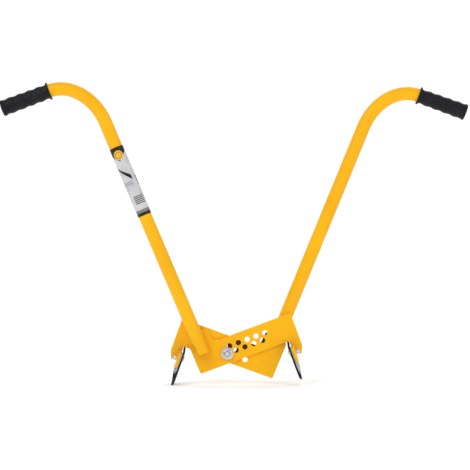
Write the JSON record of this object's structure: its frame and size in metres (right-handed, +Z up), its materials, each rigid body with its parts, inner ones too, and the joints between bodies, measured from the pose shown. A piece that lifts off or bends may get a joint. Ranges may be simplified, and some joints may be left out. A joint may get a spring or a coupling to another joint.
{
  "type": "kerb stone lifting tongs",
  "caption": "Two-handled scissor tongs for lifting kerb stones and slabs, with bent tube handles, a row of adjusting holes and rubber-padded jaws.",
  "frame": {"origin": "bottom centre of the tool's bounding box, with the tongs upright and part open as at rest", "axes": "+X from the left handle to the right handle, +Y from the front plate to the rear plate, +Z up"},
  "size_m": [0.935, 0.0734, 0.6012],
  "materials": {
    "paint": "smooth gloss enamel in golden yellow, small chips at edges",
    "zinc": "bright zinc plating",
    "bare_steel": "dull rolled sheet",
    "pad_rubber": "matt black rubber",
    "grip_plastic": "black moulded vinyl, soft sheen",
    "nylon": "natural nylon",
    "sticker": "laminated printed film"
  },
  "bodies": {
    "front_arm": {"front_arm_plate": "paint", "left_handle_tube": "paint", "left_tube_plug": "paint", "left_grip": "grip_plastic", "right_jaw_plate": "paint", "right_jaw_backing": "bare_steel", "right_jaw_pad": "pad_rubber", "right_pad_bolt_front": "zinc", "right_pad_washer_front": "zinc", "right_pad_nut_front": "zinc", "right_pad_bolt_rear": "zinc", "right_pad_washer_rear": "zinc", "right_pad_nut_rear": "zinc", "tube_label": "sticker", "pivot_bolt": "zinc", "pivot_washer_front": "zinc", "pivot_washer_rear": "zinc", "pivot_nut": "zinc", "pivot_nut_ring": "nylon"},
    "rear_arm": {"rear_arm_plate": "paint", "right_handle_tube": "paint", "right_tube_plug": "paint", "right_grip": "grip_plastic", "left_jaw_plate": "paint", "left_jaw_backing": "bare_steel", "left_jaw_pad": "pad_rubber", "left_pad_bolt_front": "zinc", "left_pad_washer_front": "zinc", "left_pad_nut_front": "zinc", "left_pad_bolt_rear": "zinc", "left_pad_washer_rear": "zinc", "left_pad_nut_rear": "zinc"}
  },
  "joints": [
    {"name": "arm_pivot", "type": "hinge", "parent": "front_arm", "child": "rear_arm", "pos_m": [-0.01526, 0, 0.062], "axis": [0, -1, 0], "range_deg": [0, 55]}
  ]
}
